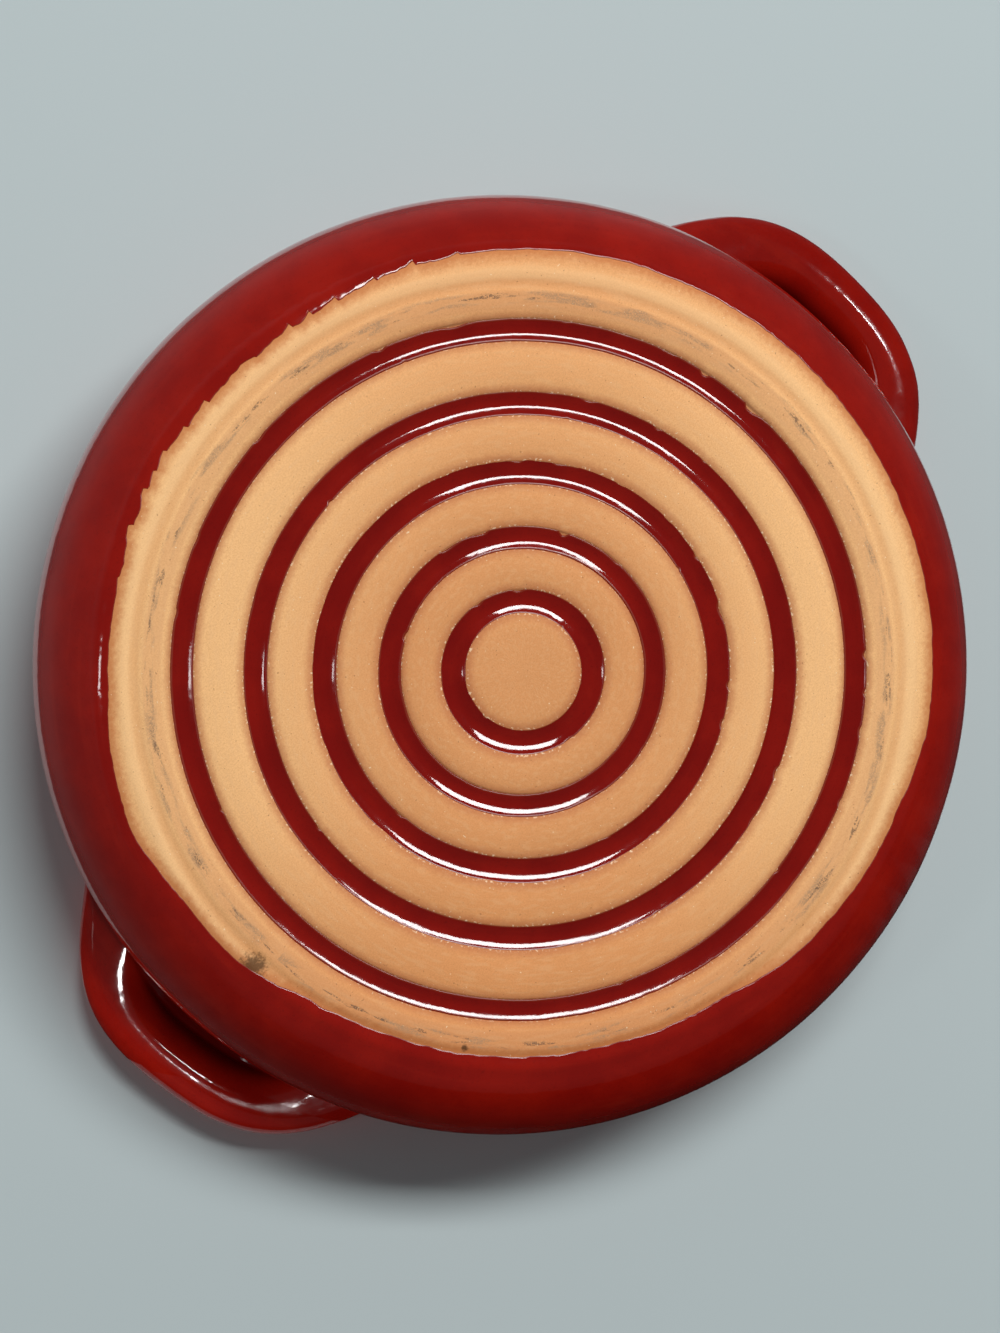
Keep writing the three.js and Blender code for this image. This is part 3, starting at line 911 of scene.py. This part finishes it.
def add_surround():
    """A ring of card round the dish that only the glaze shows, from dark on one side to pale on the other.

    It leans in to the wall on the dark side, and is darker towards its top. Its dark side is painted shade
    that the glaze reflects.
    """
    turn = turns(SURROUND_STEPS)
    aside = np.abs((np.degrees(turn) - SHADE_SIDE + 180) % 360 - 180)
    low_radius, low_height = SURROUND
    top_radius = lerp(SURROUND_NEAR, SURROUND_FAR, smoothstep(aside, 38, 62))
    levels = ((np.full(SURROUND_STEPS, low_radius), low_height), (top_radius, HEIGHT * MM))
    points = [(r * math.cos(a), r * math.sin(a), z) for radii, z in levels for r, a in zip(radii, turn)]
    after = [(i + 1) % SURROUND_STEPS for i in range(SURROUND_STEPS)]
    quads = [(i, j, j + SURROUND_STEPS, i + SURROUND_STEPS) for i, j in enumerate(after)]

    made, tree, show = matt_material("surround")
    turn, height = places(tree)[2:]
    # The dark side is painted shade in the glaze's reflections.
    paler = maths(tree, "POWER", maths(tree, "MULTIPLY_ADD", wave(tree, turn, SHADE_SIDE), -0.5, 0.5), 1.5)
    colour = mix(tree, paler, SURROUND_SHADE, SURROUND_PALE)
    darker = mix(tree, 1.0, colour, (0.4, 0.4, 0.4, 1), "MULTIPLY")
    colour = mix(tree, ramp(tree, height, HEIGHT - 42, HEIGHT - 7), colour, darker)
    show(add(tree, "BsdfDiffuse", {"Color": colour}))
    stage_piece("surround", points, quads, made).visible_camera = False


def add_world():
    """A room that is pale overhead, dim below, and at floor height dim on one side and pale on the other."""
    world = bpy.data.worlds.new("studio")
    world.use_nodes = True
    bpy.context.scene.world = world
    tree = world.node_tree
    tree.nodes.clear()
    toward = add(tree, "TexCoord").outputs["Generated"]
    up = add(tree, "SeparateXYZ", {0: toward}).outputs[2]
    bright = direction(BRIGHT_SIDE, 90)
    across = add(tree, "VectorMath", {0: toward, 1: bright}, operation="DOT_PRODUCT").outputs["Value"]
    brighter = ramp(tree, across, -0.5, 0.8)
    level = mix(tree, brighter, LEVEL_DIM, LEVEL_PALE)
    below = mix(tree, ramp(tree, up, -0.75, -0.25), ROOM_BELOW, level)
    overhead = mix(tree, ramp(tree, up, 0.3, 0.7), mix(tree, brighter, ROOM_GREY, ROOM_PALE), ROOM_PALE)
    rays = add(tree, "LightPath").outputs
    seen = maths(tree, "MAXIMUM", rays["Is Camera Ray"], rays["Is Glossy Ray"])
    seen = maths(tree, "MAXIMUM", seen, rays["Is Transmission Ray"])
    above = mix(tree, seen, overhead, PALE)
    shown = mix(tree, ramp(tree, up, -0.02, 0.03), below, above)
    shown = mix(tree, rays["Is Camera Ray"], shown, PALE)
    lit = add(tree, "Background", {"Color": shown})
    output = add(tree, "OutputWorld")
    tree.links.new(lit.outputs[0], output.inputs["Surface"])


def direction(azimuth, from_axis_down):
    """A direction from the dish: degrees about +Z, and degrees up from straight down."""
    a, b = math.radians(azimuth), math.radians(from_axis_down)
    return Vector((math.cos(a) * math.sin(b), math.sin(a) * math.sin(b), -math.cos(b)))


def photo_direction(right, down):
    """A direction from the dish by degrees off straight down, to the right and down in the photograph."""
    return direction(PHOTO_RIGHT + math.degrees(math.atan2(down, right)), math.hypot(right, down))


def add_lamp(name, toward, distance, size, brightness, long_way=None, lights=()):
    """A soft lamp that faces the dish, and lights all or only some pieces.

    Brightness 1 is the light of a white surface. The first of its two sizes lies along the long way.
    """
    width, height = size
    data = bpy.data.lights.new(name, "AREA")
    data.shape = "RECTANGLE"
    data.size, data.size_y = size
    data.energy = brightness * math.pi * width * height
    made = bpy.data.objects.new(name, data)
    if long_way is None:
        across = toward.cross(Vector((0, 0, 1))).normalized()
    else:
        across = (long_way - toward * long_way.dot(toward)).normalized()
    axes = Matrix((across, toward.cross(across), toward)).transposed()
    made.matrix_world = Matrix.Translation(toward * distance) @ axes.to_4x4()
    made.visible_camera = False
    bpy.context.scene.collection.objects.link(made)
    if lights:
        lit = bpy.data.collections.new(name + "_lights")
        for piece_lit in lights:
            lit.objects.link(piece_lit)
        made.light_linking.receiver_collection = lit
    return made


def add_lamps(handles):
    """A long lamp like a window, small ones for the handles' glints, and soft light for the inside."""
    meshes = [thing for thing in bpy.context.scene.objects if thing.type == "MESH"]
    others = [thing for thing in meshes if thing not in handles]
    right, left = handles[:1], handles[1:]
    add_lamp("key", photo_direction(12, -26), 2.75, (1.6, 0.46), 30, photo_direction(98, 14), others)
    fill = add_lamp("key_on_handles", photo_direction(5, -25), 2.75, (0.7, 0.46), 50, lights=handles)
    fill.visible_glossy = False
    add_lamp("glint_right", photo_direction(20.2, -6.4), 2, (0.14, 0.15), 80, photo_direction(83, -38), right)
    add_lamp("glint_left", photo_direction(19, -10.1), 2, (0.15, 0.13), 64, photo_direction(57, -71), left)
    add_lamp("glint_low", photo_direction(8, 9.5), 2, (0.25, 0.2), 60, photo_direction(0, 90), left)
    add_lamp("side", photo_direction(-35, 3), 2, (0.16, 0.16), 16)
    add_lamp("above_front", direction(300, 152), 2.2, (1.2, 1.2), 1.6)
    add_lamp("above_back", direction(150, 152), 2.2, (1.2, 1.2), 1.2)


add_camera()
clay = clay_material()
glaze = glaze_material()
make_bowl(clay)
for groove in range(len(GROOVES)):
    make_groove_coat(groove, glaze)
make_outer_coat(glaze)
make_inner_coat(glaze)
ears = [make_handle(name, azimuth, glaze, seed) for seed, (name, azimuth) in enumerate(HANDLES.items(), 50)]

add_sheet("floor", FLOOR_HALF, -FLOOR_DROP, True)
add_sheet("backdrop", BACKDROP_HALF, HEIGHT * MM + MM, False)
add_surround()
add_world()
add_lamps(ears)
bpy.context.scene.view_settings.view_transform = "Standard"
